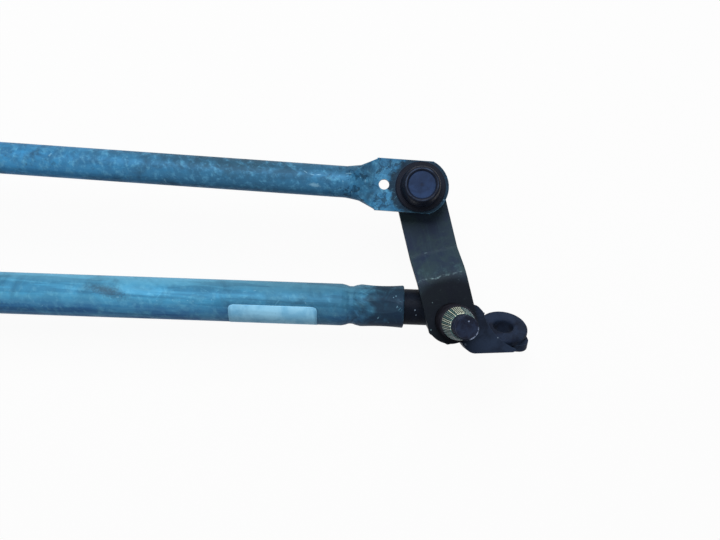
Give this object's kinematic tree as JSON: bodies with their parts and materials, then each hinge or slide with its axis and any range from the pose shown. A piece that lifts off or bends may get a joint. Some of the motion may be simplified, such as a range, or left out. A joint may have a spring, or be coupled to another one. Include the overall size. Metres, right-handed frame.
{
  "type": "windscreen wiper linkage",
  "caption": "Tubular windscreen wiper linkage with die-cast pivot bearings, stepped cranks, a tandem rod on ball joints and a drive rod to a motor plate.",
  "frame": {"origin": "on the right pivot axis, at the foot of the thread for the wiper arm's nut", "axes": "+X along the line of the pivots, from the left pivot to the right one; +Y towards the tandem rod; +Z out along the pivot shafts"},
  "size_m": [0.5776, 0.1777, 0.0989],
  "materials": {
    "zinc": "spangled zinc plate, dulled, with stains and scratches",
    "casting": "black coated die casting, chipped",
    "crank": "dark phosphated and oiled steel strip, worn at the bend",
    "shaft": "turned steel, yellowed on the knurl",
    "steel": "plain steel",
    "socket": "black moulded plastic",
    "rubber": "black rubber",
    "bronze": "oiled sintered bronze"
  },
  "bodies": {
    "frame": {"main_tube": "zinc", "right_pivot_housing": "casting", "left_pivot_housing": "casting", "right_outer_bush": "bronze", "right_inner_bush": "bronze", "left_outer_bush": "bronze", "left_inner_bush": "bronze", "right_shaft_seal": "rubber", "left_shaft_seal": "rubber", "right_ear_grommet": "rubber", "left_ear_grommet": "rubber", "plate_grommet": "rubber", "motor_plate": "zinc", "right_tube_strap": "zinc", "left_tube_strap": "zinc", "strap_rivets": "steel"},
    "left_pivot": {"left_shaft": "shaft", "left_crank": "crank", "left_ball_stud": "steel", "left_drive_stud": "steel", "left_thrust_washer": "steel", "left_inner_washer": "steel", "left_retaining_ring": "steel"},
    "right_pivot": {"right_shaft": "shaft", "right_crank": "crank", "right_ball_stud": "steel", "right_thrust_washer": "steel", "right_inner_washer": "steel", "right_retaining_ring": "steel"},
    "tandem_link": {"tandem_rod": "zinc", "tandem_right_socket": "socket", "tandem_left_socket": "socket"},
    "drive_link": {"drive_rod": "zinc", "drive_left_socket": "socket", "drive_motor_socket": "socket"},
    "motor_arm": {"motor_crank": "crank", "motor_ball_stud": "steel"}
  },
  "joints": [
    {"name": "left_sweep", "type": "hinge", "parent": "frame", "child": "left_pivot", "pos_m": [-0.5, 0, 0], "axis": [0, 0, 1], "range_deg": [-70, 18]},
    {"name": "right_sweep", "type": "hinge", "parent": "frame", "child": "right_pivot", "pos_m": [0, 0, 0], "axis": [0, 0, 1], "range_deg": [-70, 18]},
    {"name": "tandem_turn", "type": "hinge", "parent": "left_pivot", "child": "tandem_link", "pos_m": [-0.51894, 0.06008, -0.042], "axis": [0, 0, 1], "range_deg": [-18, 70]},
    {"name": "drive_turn", "type": "hinge", "parent": "left_pivot", "child": "drive_link", "pos_m": [-0.48737, -0.04006, -0.031], "axis": [0, 0, 1], "range_deg": [-18, 70]},
    {"name": "motor_turn", "type": "hinge", "parent": "frame", "child": "motor_arm", "pos_m": [-0.34822, -0.05239, -0.042], "axis": [0, 0, 1], "range_deg": [-70, 18]}
  ],
  "couplings": [
    {"joint": "right_sweep", "follows": "left_sweep", "ratio": 1},
    {"joint": "tandem_turn", "follows": "left_sweep", "ratio": -1},
    {"joint": "drive_turn", "follows": "left_sweep", "ratio": -1},
    {"joint": "motor_turn", "follows": "left_sweep", "ratio": 1}
  ]
}
